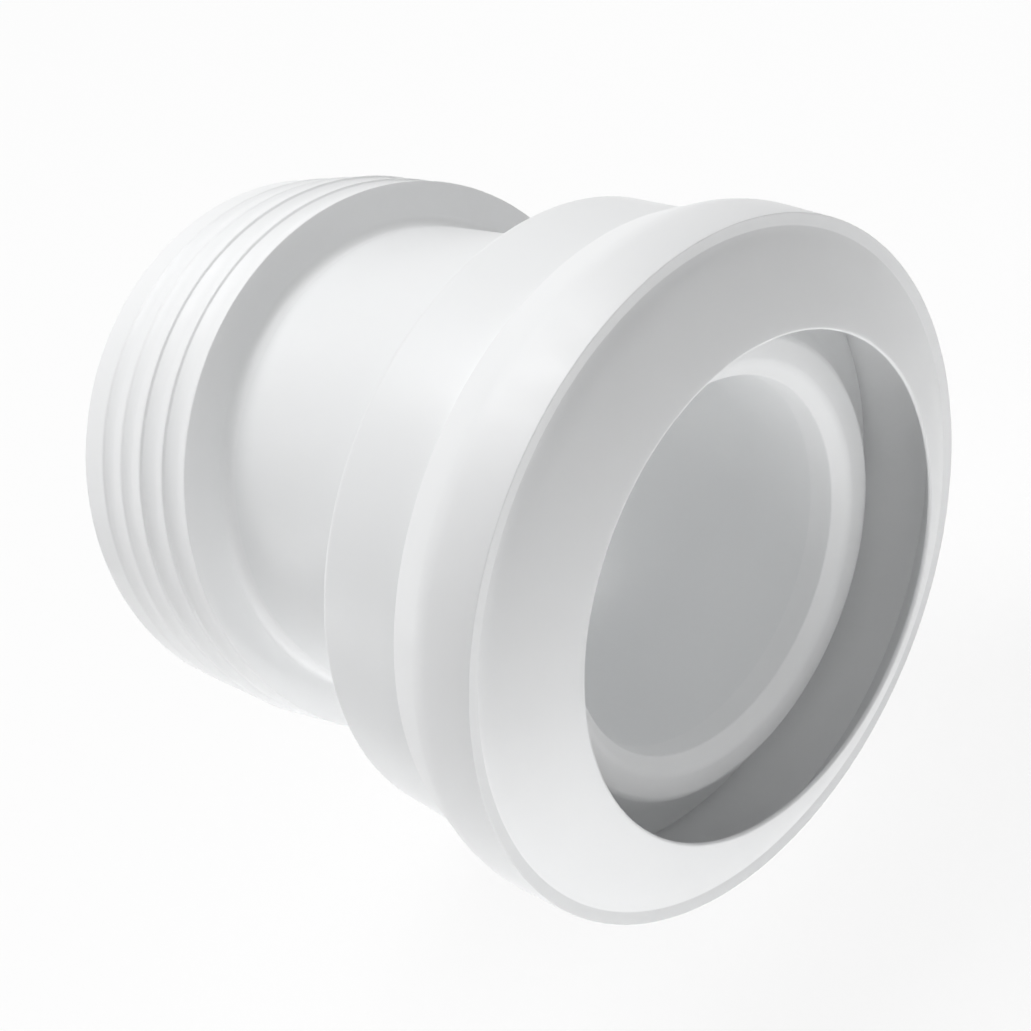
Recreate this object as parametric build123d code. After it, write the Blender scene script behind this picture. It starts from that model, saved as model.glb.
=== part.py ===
from build123d import *
import os
from math import cos, radians, tan

# Toilet pan connector, bent 14 degrees, for a 110 mm soil pipe. Millimetres, +Z up.
# The outlet lies along X and points to -X. The origin is on its axis, at the middle sealing fin.
# The socket for the pan opens to +X and is turned down by the bend.

# Axes
BEND_ANGLE = 14.0
BEND_X = 11.2
RIM_FROM_BEND = 78.0

# Finned outlet seal
FIN_R = 55.0
FIN_DEPTH = 5.5
FIN_PITCH = 7.6
FIN_HEIGHT = 1.4
FIN_LAND = 0.8
FIN_FLANK = 1.6
SEALING_FINS = 3
LEAD_FINS = 2
LEAD_DROP = 0.8
LEAD_LENGTH = 7.5
LEAD_CHAMFER = 0.9
FLANGE_THICKNESS = 2.5
FLANGE_RISE = 1.4
FLANGE_FOOT = 0.8

# Rigid moulding: one wall thickness throughout
WALL = 3.0
SHOULDER_STEP = 3.1
BELL_LENGTH = 44.5
BELL_STEP = 15.6
BELL_DRAFT = 3.8
BELL_CHAMFER = 0.8

# Flow tube inside the bell: straight at the front, opening to the neck behind
TUBE_BORE_R = 37.0
TUBE_STRAIGHT = 18.0

# Inlet seal: skirt and rolled rim outside, cone with the lip in front
SKIRT_LENGTH = 23.0
SKIRT_EDGE = 1.0
SKIRT_SHOULDER = 13.0
SKIRT_THICKNESS = 4.4
SKIRT_ROUND = 12.0
RIM_THICKNESS = 4.2
RIM_DEPTH = 4.0
BEAD_WIDTH = 2.8
BEAD_HEIGHT = 0.8
BEAD_CHAMFER = 1.3
LIP_R = 50.0
LIP_REACH = 10.6
LIP_EDGE = 1.0
CONE_ROOT = 5.3
CONE_BULGE = 0.9

# Inlet seal: scooped groove behind the lip and ring on the flow tube's end
LINING = 1.2
GROOVE_DEPTH = 13.5
GROOVE_FALL = 2.5
WEB = 3.0
RING_WIDTH = 8.8
RING_FOOT = 6.7
RING_SET_BACK = 2.1
RING_CROWN = 0.9
RING_CHAMFER = 1.3
BORE_CHAMFER = 0.5
RING_SEAT = 9.0

# Radii, from the sealing fins inwards to the neck and out to the rim
spigot_r = FIN_R - FIN_DEPTH
neck_r = spigot_r - SHOULDER_STEP
neck_bore_r = neck_r - WALL
bell_back_r = neck_r + BELL_STEP
bell_front_r = bell_back_r + BELL_DRAFT
rim_r = bell_front_r + RIM_THICKNESS
ring_r = TUBE_BORE_R + RING_WIDTH

# Places along the outlet axis
front_fin_x = FIN_PITCH * (SEALING_FINS - 1) / 2
first_fin_x = front_fin_x - FIN_PITCH * (SEALING_FINS + LEAD_FINS - 1)
outlet_x = first_fin_x - LEAD_LENGTH
flange_x = front_fin_x + FIN_LAND / 2
shoulder_x = flange_x - FLANGE_THICKNESS

# Places along the socket axis, with zero at the rim plane
bell_back = -BELL_LENGTH
bell_front = -RIM_DEPTH
tube_front = -RING_SEAT
tube_back = tube_front - TUBE_STRAIGHT
socket_frame = Pos(BEND_X, 0, 0) * Rot(0, BEND_ANGLE, 0) * Pos(RIM_FROM_BEND, 0, 0)


def turned(corners):
    """Turns an outline about X. A corner is its place along X, its radius and, if it has one, its rounding."""
    points = [corner[:2] for corner in corners]
    roundings = [corner[2] if len(corner) > 2 else 0 for corner in corners]
    outline = FilletPolyline(points, radius=roundings, close=True)
    return revolve(Plane.XZ * make_face(outline), Axis.X)


def bell_outer_r(along):
    """Outer radius of the drafted bell, at a place along the socket axis."""
    return bell_back_r + BELL_DRAFT * (along - bell_back) / (bell_front - bell_back)


def connector_body():
    """Spigot, shoulder and neck on the outlet axis, and the bell with its flow tube on the socket axis."""
    neck_end = BEND_X + RIM_FROM_BEND
    spigot = turned([
        (outlet_x, 0),
        (outlet_x, spigot_r),
        (shoulder_x, spigot_r),
        (shoulder_x, neck_r),
        (neck_end, neck_r),
        (neck_end, 0),
    ])
    outlet_bore = turned([
        (outlet_x, 0),
        (outlet_x, spigot_r - WALL),
        (shoulder_x - WALL, spigot_r - WALL),
        (shoulder_x, neck_bore_r),
        (neck_end, neck_bore_r),
        (neck_end, 0),
    ])
    # The neck and its bore end at the bell's back
    wall_middle = Plane(socket_frame * Pos(bell_back + WALL / 2, 0, 0) * Plane.YZ.location)
    back_face = Plane(socket_frame * Pos(bell_back, 0, 0) * Plane.YZ.location)
    spigot = split(spigot, bisect_by=wall_middle, keep=Keep.BOTTOM)
    outlet_bore = split(outlet_bore, bisect_by=back_face, keep=Keep.BOTTOM)

    bell = turned([
        (bell_back, 0),
        (bell_back, bell_back_r - BELL_CHAMFER),
        (bell_back + BELL_CHAMFER, bell_outer_r(bell_back + BELL_CHAMFER)),
        (bell_front, bell_front_r),
        (bell_front, 0),
    ])
    inside_back = bell_back + WALL
    bell_inside = turned([
        (inside_back, 0),
        (inside_back, bell_outer_r(inside_back) - WALL),
        (bell_front, bell_front_r - WALL),
        (bell_front, 0),
    ])
    body = spigot + socket_frame * bell
    body -= socket_frame * (bell_inside - flow_tube(WALL))
    body -= socket_frame * flow_tube(0)
    body -= outlet_bore
    return body


def flow_tube(wall):
    """Straight tube at the front, opening backwards to the neck's bore with its floor in line."""
    rise = (RIM_FROM_BEND - BELL_LENGTH) * tan(radians(BEND_ANGLE))
    across = neck_bore_r + wall
    back = Plane.YZ.offset(bell_back) * Pos(0, rise) * Ellipse(across, across / cos(radians(BEND_ANGLE)))
    middle = Plane.YZ.offset(tube_back) * Circle(TUBE_BORE_R + wall)
    opening = loft([back, middle])
    straight = turned([
        (tube_back, 0),
        (tube_back, TUBE_BORE_R + wall),
        (tube_front, TUBE_BORE_R + wall),
        (tube_front, 0),
    ])
    return opening + straight


def inlet_seal():
    """Soft moulding that caps the bell: skirt, rolled rim, cone, lip, lining, web and ring."""
    skirt_back = -SKIRT_LENGTH
    shoulder = -SKIRT_SHOULDER
    bead_r = rim_r - BEAD_WIDTH
    web_front = -GROOVE_DEPTH
    web_back = web_front - WEB
    ring_front = -RING_SET_BACK
    cone_r = (LIP_R + bead_r) / 2 + CONE_BULGE / 2
    return turned([
        (skirt_back, bell_outer_r(skirt_back)),
        (skirt_back, bell_outer_r(skirt_back) + SKIRT_EDGE),
        (shoulder, bell_outer_r(shoulder) + SKIRT_THICKNESS, SKIRT_ROUND),
        (BEAD_HEIGHT - BEAD_CHAMFER, rim_r),
        (BEAD_HEIGHT, rim_r - BEAD_CHAMFER),
        (BEAD_HEIGHT, bead_r),
        (0, bead_r),
        (LIP_REACH / 2 + CONE_BULGE, cone_r),
        (LIP_REACH, LIP_R),
        (LIP_REACH - LIP_EDGE, LIP_R),
        ((LIP_REACH - LIP_EDGE) / 2 + CONE_BULGE, cone_r - CONE_ROOT / 2),
        (0, bead_r - CONE_ROOT),
        (web_front, bell_outer_r(web_front) - WALL - LINING),
        (web_front + GROOVE_FALL, ring_r + RING_FOOT),
        (ring_front - RING_CHAMFER, ring_r),
        (ring_front, ring_r - RING_CHAMFER),
        (ring_front + RING_CROWN, TUBE_BORE_R + RING_WIDTH / 2),
        (ring_front, TUBE_BORE_R + BORE_CHAMFER),
        (ring_front - BORE_CHAMFER, TUBE_BORE_R),
        (tube_front, TUBE_BORE_R),
        (tube_front, TUBE_BORE_R + WALL),
        (web_back, TUBE_BORE_R + WALL),
        (web_back, bell_outer_r(web_back) - WALL),
        (bell_front, bell_front_r - WALL),
        (bell_front, bell_front_r),
    ])


def outlet_seal():
    """Soft sleeve on the spigot: barbed fins that grow over the lead-in, and a flange on the shoulder."""
    lead_r = FIN_R - LEAD_DROP * (LEAD_FINS + 1)
    corners = [(outlet_x, spigot_r)]
    corners.append((outlet_x, lead_r - LEAD_CHAMFER))
    corners.append((outlet_x + LEAD_CHAMFER, lead_r))
    for fin in range(LEAD_FINS + SEALING_FINS):
        crest_r = FIN_R - LEAD_DROP * max(0, LEAD_FINS - fin)
        crest_x = first_fin_x + FIN_PITCH * fin
        if fin > 0:
            corners.append((crest_x - FIN_PITCH + FIN_LAND / 2 + FIN_FLANK, crest_r - FIN_HEIGHT))
        corners.append((crest_x - FIN_LAND / 2, crest_r))
        corners.append((crest_x + FIN_LAND / 2, crest_r))
    foot_x = flange_x + FLANGE_RISE
    corners.append((foot_x, neck_r + FLANGE_FOOT))
    corners.append((foot_x + FLANGE_FOOT, neck_r))
    corners.append((shoulder_x, neck_r))
    corners.append((shoulder_x, spigot_r))
    return turned(corners)


os.makedirs("parts", exist_ok=True)
export_step(connector_body(), "parts/connector_body.step")
export_step(socket_frame * inlet_seal(), "parts/inlet_seal.step")
export_step(outlet_seal(), "parts/outlet_seal.step")
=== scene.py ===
from math import cos, pi, radians, sin, sqrt, tan

import bpy
from mathutils import Matrix, Vector


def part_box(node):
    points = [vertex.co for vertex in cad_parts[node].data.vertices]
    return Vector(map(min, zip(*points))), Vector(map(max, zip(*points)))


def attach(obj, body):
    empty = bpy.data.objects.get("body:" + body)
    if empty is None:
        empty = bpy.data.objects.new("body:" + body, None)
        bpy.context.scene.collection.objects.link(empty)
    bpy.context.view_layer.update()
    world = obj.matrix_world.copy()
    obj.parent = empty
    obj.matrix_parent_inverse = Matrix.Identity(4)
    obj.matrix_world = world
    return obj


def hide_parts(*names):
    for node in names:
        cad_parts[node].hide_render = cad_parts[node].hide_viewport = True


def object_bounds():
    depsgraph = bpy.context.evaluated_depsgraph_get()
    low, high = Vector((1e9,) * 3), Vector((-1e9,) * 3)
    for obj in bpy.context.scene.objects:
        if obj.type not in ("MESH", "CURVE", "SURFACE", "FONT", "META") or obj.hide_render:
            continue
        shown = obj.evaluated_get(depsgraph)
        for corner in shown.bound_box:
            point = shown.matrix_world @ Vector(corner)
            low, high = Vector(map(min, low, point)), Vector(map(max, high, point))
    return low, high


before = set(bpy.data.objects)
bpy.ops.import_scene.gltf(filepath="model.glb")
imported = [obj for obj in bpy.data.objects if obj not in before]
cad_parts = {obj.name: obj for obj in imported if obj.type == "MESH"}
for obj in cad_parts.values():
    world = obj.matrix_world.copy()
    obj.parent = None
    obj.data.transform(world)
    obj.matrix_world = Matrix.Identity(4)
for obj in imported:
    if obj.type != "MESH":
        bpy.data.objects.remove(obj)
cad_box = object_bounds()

# Connector body
# Rigid white moulding in one wall thickness: outlet spigot, shoulder and straight neck, and the bell with
# a flow tube inside it. The bell is turned down by the bend, and the neck runs into its back wall.

mm = 0.001
bend_angle = radians(14.0)
bend_x = 11.2 * mm
rim_from_bend = 78.0 * mm
wall = 3.0 * mm

fin_depth = 5.5 * mm
shoulder_step = 3.1 * mm
outlet_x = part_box("outlet_seal")[0][0]
fin_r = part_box("outlet_seal")[1][1]
spigot_r = fin_r - fin_depth
neck_r = spigot_r - shoulder_step
shoulder_x = 5.5 * mm
neck_start_x = 16.0 * mm
outlet_edge_round = 0.8 * mm
shoulder_round = 0.8 * mm

bell_step = 15.6 * mm
bell_back = -44.5 * mm
bell_front = -4.0 * mm
bell_back_r = neck_r + bell_step
bell_front_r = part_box("connector_body")[1][1]
bell_edge_round = 1.5 * mm
neck_root_round = 1.8 * mm

tube_bore_r = 37.0 * mm
tube_front = -9.0 * mm
tube_back = -27.0 * mm
tube_back_round = 2.5 * mm

# How fine the round pieces are, from which angle an edge stays sharp, and how close counts as the same
round_steps = 192
crease_angle = radians(35)
same_place = 0.01 * mm
same_radius = 0.05 * mm
same_share = 0.0005
same_vertex = 0.002 * mm


def bell_outer_r(along):
    """Outer radius of the drafted bell, at a place along the socket axis."""
    return bell_back_r + (bell_front_r - bell_back_r) * (along - bell_back) / (bell_front - bell_back)


def circle(along, radius):
    """A ring round the X axis: its place along X, half its width, half its height and its rise."""
    return along, radius, radius, 0.0


def first_ring(name, ring):
    """Adds a circle round the X axis, leaves it selected in edit mode and returns its object."""
    along, half_width, half_height, rise = ring
    bpy.ops.object.select_all(action="DESELECT")
    bpy.ops.mesh.primitive_circle_add(vertices=round_steps, radius=half_width, rotation=(0, pi / 2, 0))
    bpy.ops.object.transform_apply(location=True, rotation=True, scale=True)
    piece = bpy.context.object
    piece.name = name
    bpy.ops.object.mode_set(mode="EDIT")
    bpy.ops.mesh.select_mode(type="EDGE")
    bpy.ops.mesh.select_all(action="SELECT")
    bpy.ops.transform.resize(value=(1, 1, half_height / half_width), center_override=(0, 0, 0))
    bpy.ops.transform.translate(value=(along, 0, rise))
    return piece


def extrude_rings(rings):
    """Extrudes the selected ring, the first of the list, through all the others in turn."""
    for last, ring in zip(rings, rings[1:]):
        step = (ring[0] - last[0], 0, ring[3] - last[3])
        bpy.ops.mesh.extrude_region_move(TRANSFORM_OT_translate={"value": step})
        growth = (1, ring[1] / last[1], ring[2] / last[2])
        bpy.ops.transform.resize(value=growth, center_override=(ring[0], 0, ring[3]))


def deselect_mesh(piece):
    """Clears the selection of a mesh that is in object mode."""
    for part in (piece.data.polygons, piece.data.edges, piece.data.vertices):
        part.foreach_set("select", [False] * len(part))


def round_ring(piece, ring, size, segments):
    """Rounds the edge of the mesh that lies on this ring."""
    along, half_width, half_height, rise = ring
    bpy.ops.object.mode_set(mode="OBJECT")
    deselect_mesh(piece)
    on_ring = set()
    for vertex in piece.data.vertices:
        x, y, z = vertex.co
        share = sqrt((y / half_width) ** 2 + ((z - rise) / half_height) ** 2)
        if abs(x - along) < same_place and abs(share - 1) < same_share:
            on_ring.add(vertex.index)
    for edge in piece.data.edges:
        edge.select = on_ring.issuperset(edge.vertices)
    bpy.ops.object.mode_set(mode="EDIT")
    bpy.ops.mesh.select_mode(type="EDGE")
    bpy.ops.mesh.bevel(offset=size, segments=segments, affect="EDGES", clamp_overlap=False)


def finish_shell(piece):
    """Merges the seams of a closed shell, turns its faces outwards and smooths it up to the crease angle."""
    bpy.ops.object.mode_set(mode="EDIT")
    bpy.ops.mesh.select_all(action="SELECT")
    bpy.ops.mesh.remove_doubles(threshold=same_vertex)
    bpy.ops.mesh.normals_make_consistent(inside=False)
    bpy.ops.object.mode_set(mode="OBJECT")
    bpy.ops.object.select_all(action="DESELECT")
    piece.select_set(True)
    bpy.context.view_layer.objects.active = piece
    bpy.ops.object.shade_smooth_by_angle(angle=crease_angle)


# Spigot and neck: outer skin from the neck to the outlet's end and back through the bore
spigot_bore_r = spigot_r - wall
neck_bore_r = neck_r - wall
neck_skin = circle(neck_start_x, neck_r)
outlet_inner_edge = circle(outlet_x, spigot_bore_r)
shoulder_inside = circle(shoulder_x, neck_bore_r)
spigot_rings = [
    neck_skin,
    circle(shoulder_x, neck_r),
    circle(shoulder_x, spigot_r),
    circle(outlet_x, spigot_r),
    outlet_inner_edge,
    circle(shoulder_x - wall, spigot_bore_r),
    shoulder_inside,
    circle(neck_start_x, neck_bore_r),
]
body = first_ring("moulded_body", neck_skin)
extrude_rings(spigot_rings)
round_ring(body, outlet_inner_edge, outlet_edge_round, segments=4)
round_ring(body, shoulder_inside, shoulder_round, segments=3)
bpy.ops.object.mode_set(mode="OBJECT")

# Bell and flow tube, drawn on the socket axis with zero at the rim plane
rise = (rim_from_bend + bell_back) * tan(bend_angle)
slant = 1 / cos(bend_angle)
inside_back = bell_back + wall
tube_r = tube_bore_r + wall
neck_root = (bell_back, neck_r, neck_r * slant, rise)
bore_root = (bell_back, neck_bore_r, neck_bore_r * slant, rise)
root_share = wall / (tube_back - bell_back)
tube_root = (
    inside_back,
    neck_r + (tube_r - neck_r) * root_share,
    neck_r * slant + (tube_r - neck_r * slant) * root_share,
    rise * (1 - root_share),
)
bell_back_edge = circle(bell_back, bell_back_r)
tube_back_edge = circle(tube_back, tube_bore_r)
bell_rings = [
    neck_root,
    bell_back_edge,
    circle(bell_front, bell_front_r),
    circle(bell_front, bell_front_r - wall),
    circle(inside_back, bell_outer_r(inside_back) - wall),
    tube_root,
    circle(tube_back, tube_r),
    circle(tube_front, tube_r),
    circle(tube_front, tube_bore_r),
    tube_back_edge,
    bore_root,
]
bell = first_ring("bell", neck_root)
extrude_rings(bell_rings)
round_ring(bell, bell_back_edge, bell_edge_round, segments=4)
round_ring(bell, tube_back_edge, tube_back_round, segments=8)

# The bell is turned down by the bend, the two halves become one mesh, and the neck is drawn between them
bpy.ops.object.mode_set(mode="OBJECT")
to_bend = Matrix.Translation((bend_x, 0, 0))
to_rim = Matrix.Translation((rim_from_bend, 0, 0))
socket_frame = to_bend @ Matrix.Rotation(bend_angle, 4, "Y") @ to_rim
bell.matrix_world = socket_frame
bpy.ops.object.select_all(action="DESELECT")
bell.select_set(True)
bpy.context.view_layer.objects.active = bell
bpy.ops.object.transform_apply(location=True, rotation=True, scale=True)
body.select_set(True)
bpy.context.view_layer.objects.active = body
bpy.ops.object.join()


def select_round(piece, radius, along_socket=None):
    """Selects edges at a distance from the outlet axis: open ends, or those at a place on the socket axis."""
    to_socket = socket_frame.inverted()
    bpy.ops.object.mode_set(mode="EDIT")
    bpy.ops.mesh.select_mode(type="EDGE")
    if along_socket is None:
        bpy.ops.mesh.select_all(action="DESELECT")
        bpy.ops.mesh.select_non_manifold(
            extend=False, use_multi_face=False, use_non_contiguous=False, use_verts=False
        )
    else:
        bpy.ops.mesh.select_all(action="SELECT")
    bpy.ops.object.mode_set(mode="OBJECT")
    chosen = []
    for edge in piece.data.edges:
        ends = [piece.data.vertices[i].co for i in edge.vertices]
        fits = all(abs(sqrt(p.y ** 2 + p.z ** 2) - radius) < same_radius for p in ends)
        if along_socket is not None:
            fits = fits and all(abs((to_socket @ p).x - along_socket) < same_place for p in ends)
        chosen.append(edge.select and fits)
    deselect_mesh(piece)
    piece.data.edges.foreach_set("select", chosen)
    bpy.ops.object.mode_set(mode="EDIT")


for skin_r in (neck_r, neck_bore_r):
    select_round(body, skin_r)
    bpy.ops.mesh.bridge_edge_loops()
select_round(body, neck_r, bell_back)
bpy.ops.mesh.bevel(offset=neck_root_round, segments=5, affect="EDGES", clamp_overlap=False)
finish_shell(body)

# Surface shared by the mouldings: faint clouds in the white, uneven polish and the fine grain of the mould
moulded_surface = bpy.data.node_groups.new("moulded surface", "ShaderNodeTree")
sockets = moulded_surface.interface
sockets.new_socket("White", in_out="INPUT", socket_type="NodeSocketColor")
sockets.new_socket("Cloud", in_out="INPUT", socket_type="NodeSocketColor")
sockets.new_socket("Polished", in_out="INPUT", socket_type="NodeSocketFloat")
sockets.new_socket("Dull", in_out="INPUT", socket_type="NodeSocketFloat")
sockets.new_socket("Grain Scale", in_out="INPUT", socket_type="NodeSocketFloat")
sockets.new_socket("Colour", in_out="OUTPUT", socket_type="NodeSocketColor")
sockets.new_socket("Roughness", in_out="OUTPUT", socket_type="NodeSocketFloat")
sockets.new_socket("Height", in_out="OUTPUT", socket_type="NodeSocketFloat")
nodes = moulded_surface.nodes
links = moulded_surface.links
values = nodes.new("NodeGroupInput")
results = nodes.new("NodeGroupOutput")
place = nodes.new("ShaderNodeTexCoord")

clouds = nodes.new("ShaderNodeTexNoise")
clouds.inputs["Scale"].default_value = 38.0
clouds.inputs["Detail"].default_value = 4.0
tint = nodes.new("ShaderNodeMix")
tint.data_type = "RGBA"
links.new(place.outputs["Object"], clouds.inputs["Vector"])
links.new(clouds.outputs["Fac"], tint.inputs["Factor"])
links.new(values.outputs["White"], tint.inputs["A"])
links.new(values.outputs["Cloud"], tint.inputs["B"])
links.new(tint.outputs["Result"], results.inputs["Colour"])

flow = nodes.new("ShaderNodeMapping")
flow.inputs["Scale"].default_value = (0.35, 1.0, 1.0)
polish = nodes.new("ShaderNodeTexNoise")
polish.inputs["Scale"].default_value = 170.0
polish.inputs["Detail"].default_value = 5.0
polish.inputs["Roughness"].default_value = 0.6
spread = nodes.new("ShaderNodeMapRange")
spread.inputs["From Min"].default_value = 0.3
spread.inputs["From Max"].default_value = 0.7
links.new(place.outputs["Object"], flow.inputs["Vector"])
links.new(flow.outputs["Vector"], polish.inputs["Vector"])
links.new(polish.outputs["Fac"], spread.inputs["Value"])
links.new(values.outputs["Polished"], spread.inputs["To Min"])
links.new(values.outputs["Dull"], spread.inputs["To Max"])
links.new(spread.outputs["Result"], results.inputs["Roughness"])

grain = nodes.new("ShaderNodeTexNoise")
grain.inputs["Detail"].default_value = 2.0
links.new(place.outputs["Object"], grain.inputs["Vector"])
links.new(values.outputs["Grain Scale"], grain.inputs["Scale"])
links.new(grain.outputs["Fac"], results.inputs["Height"])


def moulded_plastic(name, white, cloud, polished, dull, grain_scale, grain_depth):
    """A material with the shared moulded surface, at its own whites, polish and grain."""
    material = bpy.data.materials.new(name)
    material.use_nodes = True
    nodes = material.node_tree.nodes
    links = material.node_tree.links
    surface = nodes.new("ShaderNodeGroup")
    surface.node_tree = moulded_surface
    surface.inputs["White"].default_value = (*white, 1)
    surface.inputs["Cloud"].default_value = (*cloud, 1)
    surface.inputs["Polished"].default_value = polished
    surface.inputs["Dull"].default_value = dull
    surface.inputs["Grain Scale"].default_value = grain_scale
    relief = nodes.new("ShaderNodeBump")
    relief.inputs["Strength"].default_value = 0.4
    relief.inputs["Distance"].default_value = grain_depth
    shader = nodes["Principled BSDF"]
    shader.inputs["IOR"].default_value = 1.49
    links.new(surface.outputs["Colour"], shader.inputs["Base Color"])
    links.new(surface.outputs["Roughness"], shader.inputs["Roughness"])
    links.new(surface.outputs["Height"], relief.inputs["Height"])
    links.new(relief.outputs["Normal"], shader.inputs["Normal"])
    return material


rigid_white = moulded_plastic(
    "rigid white",
    white=(0.905, 0.912, 0.915),
    cloud=(0.875, 0.885, 0.89),
    polished=0.31,
    dull=0.4,
    grain_scale=1500.0,
    grain_depth=0.006 * mm,
)
body.data.materials.append(rigid_white)

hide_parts("connector_body")
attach(body, "root")

# Outlet seal
# Soft white finned sleeve, moulded in one and pushed over the spigot until its flange meets the shoulder.
# Two smaller fins lead it into the soil pipe, and three full ones seal on the pipe's bore.

sealing_fins = 3
fin_pitch = 7.6 * mm
fin_land = 0.8 * mm
fin_flank = 2.4 * mm
fin_height = 1.35 * mm
valley_round = 6.0 * mm

crest_round = 0.12 * mm
crest_bead = 0.25 * mm
crest_bead_reach = 0.15 * mm
crest_bead_round = 0.25 * mm
crest_bead_foot = 0.15 * mm
crest_step = 0.3 * mm
crest_step_share = 0.28
crest_step_round = 0.3 * mm

lead_fins = 2
lead_drop = 0.8 * mm
lead_round = 0.9 * mm

flange_bulge = 1.5 * mm
flange_bulge_drop = 3.8 * mm
flange_bulge_round = 17.0 * mm
flange_rise = 1.7 * mm
foot_round = 2.4 * mm
foot_length = 2.4 * mm
foot_thickness = 0.02 * mm


def select_places(piece, places):
    """Selects the outline's vertices at these places."""
    bpy.ops.object.mode_set(mode="OBJECT")
    deselect_mesh(piece)
    for vertex in piece.data.vertices:
        vertex.select = any((vertex.co - Vector((p[0], 0, p[1]))).length < same_place for p in places)
    bpy.ops.object.mode_set(mode="EDIT")
    bpy.ops.mesh.select_mode(type="VERT")


def draw_outline(name, corners):
    """Draws a closed outline in the XZ plane and rounds its corners.

    A corner is its place along X and its radius and, where it is rounded, the rounding and its segments.
    """
    bpy.ops.object.select_all(action="DESELECT")
    bpy.ops.mesh.primitive_plane_add(size=1 * mm)
    piece = bpy.context.object
    piece.name = name
    bpy.ops.object.mode_set(mode="EDIT")
    bpy.ops.mesh.select_mode(type="VERT")
    bpy.ops.mesh.select_all(action="SELECT")
    bpy.ops.mesh.merge(type="CENTER")
    bpy.ops.transform.translate(value=(corners[0][0], 0, corners[0][1]))
    for last, corner in zip(corners, corners[1:]):
        step = (corner[0] - last[0], 0, corner[1] - last[1])
        bpy.ops.mesh.extrude_vertices_move(TRANSFORM_OT_translate={"value": step})
    select_places(piece, [corners[0], corners[-1]])
    bpy.ops.mesh.edge_face_add()
    for before, corner, after in zip(corners[-1:] + corners, corners, corners[1:] + corners[:1]):
        if len(corner) > 2:
            rounding, segments = corner[2:]
            back = Vector(before[:2]) - Vector(corner[:2])
            ahead = Vector(after[:2]) - Vector(corner[:2])
            reach = rounding / tan(back.angle(ahead) / 2)
            select_places(piece, [corner])
            bpy.ops.mesh.bevel(offset=reach, segments=segments, affect="VERTICES", clamp_overlap=False)
    return piece


def spin_outline():
    """Turns the outline right round the X axis."""
    bpy.ops.mesh.select_all(action="SELECT")
    bpy.ops.mesh.spin(steps=round_steps, angle=2 * pi, center=(0, 0, 0), axis=(1, 0, 0))


front_fin_x = fin_pitch * (sealing_fins - 1) / 2
first_fin_x = front_fin_x - fin_pitch * (sealing_fins + lead_fins - 1)
flange_x = front_fin_x + fin_land / 2
foot_r = neck_r + foot_thickness
foot_end_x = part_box("outlet_seal")[1][0] + foot_length
sleeve_corners = [
    (outlet_x, spigot_r),
    (outlet_x, fin_r - lead_drop * (lead_fins + 1), lead_round, 4),
]
for fin in range(lead_fins + sealing_fins):
    crest_r = fin_r - lead_drop * max(0, lead_fins - fin)
    crest_x = first_fin_x + fin_pitch * fin
    crest_back = crest_x - fin_land / 2
    if fin > 0:
        step_x = crest_x - fin_pitch + fin_land / 2
        valley_r = crest_r - fin_height
        step_r = last_crest_r + (valley_r - last_crest_r) * crest_step_share
        sleeve_corners.append((step_x + crest_step, step_r, crest_step_round, 3))
        sleeve_corners.append((step_x + fin_flank, valley_r, valley_round, 8))
    sleeve_corners.append((crest_back - crest_bead_reach, crest_r - crest_bead, crest_bead_foot, 2))
    sleeve_corners.append((crest_back + crest_bead_reach, crest_r, crest_bead_round, 3))
    sleeve_corners.append((crest_x + fin_land / 2, crest_r, crest_round, 3))
    last_crest_r = crest_r
sleeve_corners += [
    (flange_x + flange_bulge, fin_r - flange_bulge_drop, flange_bulge_round, 8),
    (flange_x + flange_rise, foot_r, foot_round, 8),
    (foot_end_x, foot_r),
    (foot_end_x, neck_r),
    (shoulder_x, neck_r),
    (shoulder_x, spigot_r),
]
outlet_seal = draw_outline("finned_sleeve", sleeve_corners)
spin_outline()
finish_shell(outlet_seal)

soft_white = moulded_plastic(
    "soft white",
    white=(0.925, 0.93, 0.932),
    cloud=(0.9, 0.907, 0.912),
    polished=0.36,
    dull=0.5,
    grain_scale=2300.0,
    grain_depth=0.01 * mm,
)
outlet_seal.data.materials.append(soft_white)

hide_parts("outlet_seal")
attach(outlet_seal, "root")

# Inlet seal
# Soft white moulding that caps the bell: a skirt outside, a rolled rim, and a cone that narrows forward to
# the lip. Behind the lip a scooped groove runs in from its lined wall to the ring on the flow tube's end.

skirt_back = -23.0 * mm
skirt_edge = 1.0 * mm
skirt_edge_round = 0.7 * mm
skirt_shoulder = -13.0 * mm
skirt_thickness = 4.4 * mm
skirt_round = 12.0 * mm

rim_thickness = 4.2 * mm
rim_edge = 0.25 * mm
rim_edge_round = 0.18 * mm
rim_bead_width = 2.8 * mm
rim_bead_height = 0.3 * mm
rim_bead_fall = 0.25 * mm
rim_bead_round = 0.25 * mm
rim_r = bell_front_r + rim_thickness
rim_bead_r = rim_r - rim_bead_width

lip_r = 50.0 * mm
lip_reach = 10.6 * mm
lip_land = 1.0 * mm
lip_round = 0.45 * mm
lip_back_round = 0.3 * mm
lip_back = lip_reach - lip_land

cone_bulge = 1.2 * mm
cone_round = 65.0 * mm
cone_inside_round = 55.0 * mm
cone_root = 5.3 * mm
cone_root_round = 2.6 * mm
cone_r = (lip_r + rim_bead_r) / 2 + cone_bulge / 2

lining = 1.2 * mm
web = 3.0 * mm
groove_floor = -13.5 * mm
groove_fall = 2.5 * mm
groove_r = bell_outer_r(groove_floor) - wall - lining
web_back = groove_floor - web
slot_width = 1.2 * mm
slot_depth = 1.4 * mm
slot_round = 0.15 * mm
slot_edge_round = 2.0 * mm
slot_floor = groove_floor - slot_depth

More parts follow.
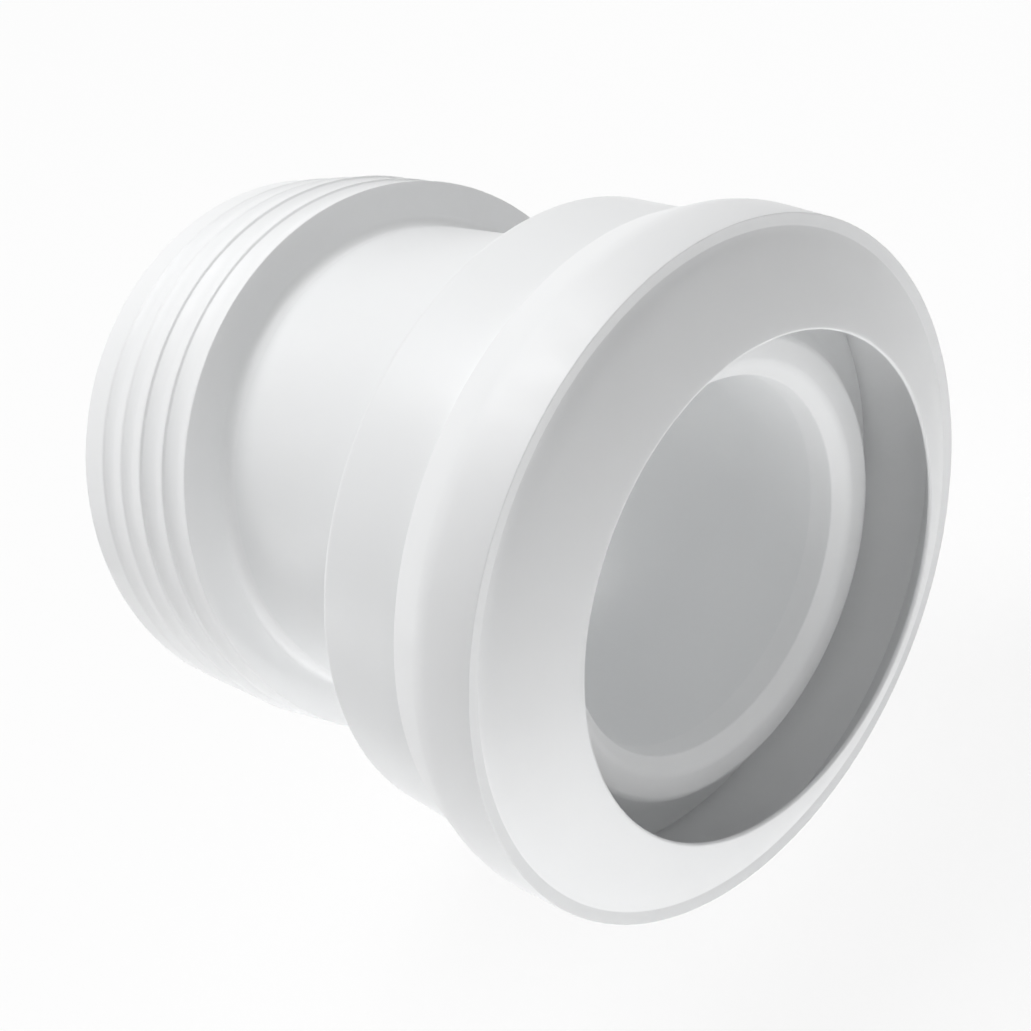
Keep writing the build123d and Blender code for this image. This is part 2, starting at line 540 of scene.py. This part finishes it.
ring_front = -2.1 * mm
ring_width = 8.8 * mm
ring_foot = 6.7 * mm
ring_foot_round = 19.0 * mm
ring_edge_round = 1.8 * mm
ring_crown = 0.2 * mm
ring_crown_round = 3.0 * mm
ring_bevel_width = 3.4 * mm
ring_bevel_depth = 2.0 * mm
ring_bore_flare = 0.45 * mm
ring_bore_round = 0.6 * mm
ring_r = tube_bore_r + ring_width

cap_corners = [
    (skirt_back, bell_outer_r(skirt_back)),
    (skirt_back, bell_outer_r(skirt_back) + skirt_edge, skirt_edge_round, 4),
    (skirt_shoulder, bell_outer_r(skirt_shoulder) + skirt_thickness, skirt_round, 8),
    (rim_bead_height, rim_r - rim_edge, rim_edge_round, 3),
    (rim_bead_height - rim_bead_fall, rim_bead_r, rim_bead_round, 3),
    (lip_reach / 2 + cone_bulge, cone_r, cone_round, 8),
    (lip_reach, lip_r, lip_round, 4),
    (lip_back, lip_r, lip_back_round, 3),
    (lip_back / 2 + cone_bulge, cone_r - cone_root / 2, cone_inside_round, 6),
    (0, rim_bead_r - cone_root, cone_root_round, 6),
    (slot_floor, groove_r, slot_round, 2),
    (slot_floor, groove_r - slot_width / 2, slot_round, 2),
    (groove_floor, groove_r - slot_width, slot_edge_round, 6),
    (groove_floor + groove_fall, ring_r + ring_foot, ring_foot_round, 8),
    (ring_front, ring_r, ring_edge_round, 7),
    (ring_front + ring_crown, tube_bore_r + ring_bevel_width, ring_crown_round, 6),
    (ring_front - ring_bevel_depth, tube_bore_r + ring_bore_flare, ring_bore_round, 4),
    (tube_front, tube_bore_r),
    (tube_front, tube_r),
    (web_back, tube_r),
    (web_back, bell_outer_r(web_back) - wall),
    (bell_front, bell_front_r - wall),
    (bell_front, bell_front_r),
]
inlet_seal = draw_outline("lip_seal", cap_corners)
spin_outline()
bpy.ops.object.mode_set(mode="OBJECT")
inlet_seal.matrix_world = socket_frame
bpy.ops.object.transform_apply(location=True, rotation=True, scale=True)
finish_shell(inlet_seal)
inlet_seal.data.materials.append(soft_white)

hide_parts("inlet_seal")
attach(inlet_seal, "root")

# Studio
# The camera looks down on the mouth of the socket from the outlet's right, with a long lens, rolled as the
# connector lay. Softboxes stand all round it, three of them below the white floor, and one at the camera.

camera_aim = Vector((18.36, 5.12, -21.15)) * mm
camera_distance = 900.0 * mm
camera_azimuth = radians(65.5)
camera_elevation = radians(32.32)
camera_roll = radians(-38.25)
camera_lens = 157.13

bpy.context.scene.view_settings.view_transform = "Standard"
camera_data = bpy.data.cameras.new("camera")
camera_data.lens = camera_lens
camera_data.sensor_width = 36.0
camera = bpy.data.objects.new("camera", camera_data)
bpy.context.scene.collection.objects.link(camera)
bpy.context.scene.camera = camera
towards_camera = Vector((
    sin(camera_azimuth) * cos(camera_elevation),
    -cos(camera_azimuth) * cos(camera_elevation),
    sin(camera_elevation),
))
upright = towards_camera.to_track_quat("Z", "Y").to_matrix().to_4x4()
camera.matrix_world = (
    Matrix.Translation(camera_aim + towards_camera * camera_distance)
    @ upright @ Matrix.Rotation(camera_roll, 4, "Z")
)
picture_right = camera.matrix_world.to_3x3() @ Vector((1, 0, 0))
picture_up = camera.matrix_world.to_3x3() @ Vector((0, 1, 0))

softbox_size = 0.8
softbox_distance = 1.1


def softbox(name, across, upwards, forwards, power):
    """Adds a square soft light that shines on the connector from this direction in the picture."""
    direction = across * picture_right + upwards * picture_up + forwards * towards_camera
    direction.normalize()
    light = bpy.data.lights.new(name, "AREA")
    light.shape = "SQUARE"
    light.size = softbox_size
    light.energy = power
    lamp = bpy.data.objects.new(name, light)
    lamp.visible_camera = False
    bpy.context.scene.collection.objects.link(lamp)
    facing = direction.to_track_quat("Z", "Y").to_matrix().to_4x4()
    lamp.matrix_world = Matrix.Translation(camera_aim + softbox_distance * direction) @ facing


softbox("upper left softbox", -0.6, 0.77, 0.25, power=9.8)
softbox("left softbox", -0.96, 0.2, 0.1, power=0.8)
softbox("rear softbox", -0.7, -0.35, -0.6, power=2.4)
softbox("right softbox", 0.95, -0.05, 0.15, power=1.8)
softbox("lamp under the floor", 0.3, -0.95, 0.05, power=7.4)
softbox("fill beside the camera", 0.0, 0.0, 1.0, power=1.7)


def add_seen_white(nodes, links):
    """Adds a mask of the rays that see the background: from the camera, by reflection or through glass."""
    path = nodes.new("ShaderNodeLightPath")
    seen = nodes.new("ShaderNodeMath")
    seen.operation = "MAXIMUM"
    seen_through = nodes.new("ShaderNodeMath")
    seen_through.operation = "MAXIMUM"
    links.new(path.outputs["Is Camera Ray"], seen.inputs[0])
    links.new(path.outputs["Is Glossy Ray"], seen.inputs[1])
    links.new(seen.outputs["Value"], seen_through.inputs[0])
    links.new(path.outputs["Is Transmission Ray"], seen_through.inputs[1])
    return seen_through.outputs["Value"]


world = bpy.data.worlds.new("studio")
bpy.context.scene.world = world
world.use_nodes = True
nodes = world.node_tree.nodes
links = world.node_tree.links
ambient = nodes["Background"]
ambient.inputs["Color"].default_value = (0.12, 0.121, 0.123, 1)
white = nodes.new("ShaderNodeBackground")
white.inputs["Color"].default_value = (1, 1, 1, 1)
mix = nodes.new("ShaderNodeMixShader")
links.new(add_seen_white(nodes, links), mix.inputs["Fac"])
links.new(ambient.outputs["Background"], mix.inputs[1])
links.new(white.outputs["Background"], mix.inputs[2])
links.new(mix.outputs["Shader"], nodes["World Output"].inputs["Surface"])

# White paper floor, which casts no shadow, so that the lamps below it shine through
floor_size = 6.0
floor_gap = 4 * mm
floor_glow = 0.88
bpy.ops.object.select_all(action="DESELECT")
bpy.ops.mesh.primitive_plane_add(size=floor_size, location=(0, 0, cad_box[0][2] - floor_gap))
floor = bpy.context.object
floor.name = "floor"
floor.visible_shadow = False
paper = bpy.data.materials.new("white floor")
paper.use_nodes = True
nodes = paper.node_tree.nodes
links = paper.node_tree.links
shader = nodes["Principled BSDF"]
shader.inputs["Base Color"].default_value = (0.94, 0.94, 0.94, 1)
shader.inputs["Roughness"].default_value = 0.9
glow = nodes.new("ShaderNodeEmission")
share_white = nodes.new("ShaderNodeMath")
share_white.operation = "MULTIPLY"
share_white.inputs[1].default_value = floor_glow
mix = nodes.new("ShaderNodeMixShader")
links.new(add_seen_white(nodes, links), share_white.inputs[0])
links.new(share_white.outputs["Value"], mix.inputs["Fac"])
links.new(shader.outputs["BSDF"], mix.inputs[1])
links.new(glow.outputs["Emission"], mix.inputs[2])
links.new(mix.outputs["Shader"], nodes["Material Output"].inputs["Surface"])
floor.data.materials.append(paper)
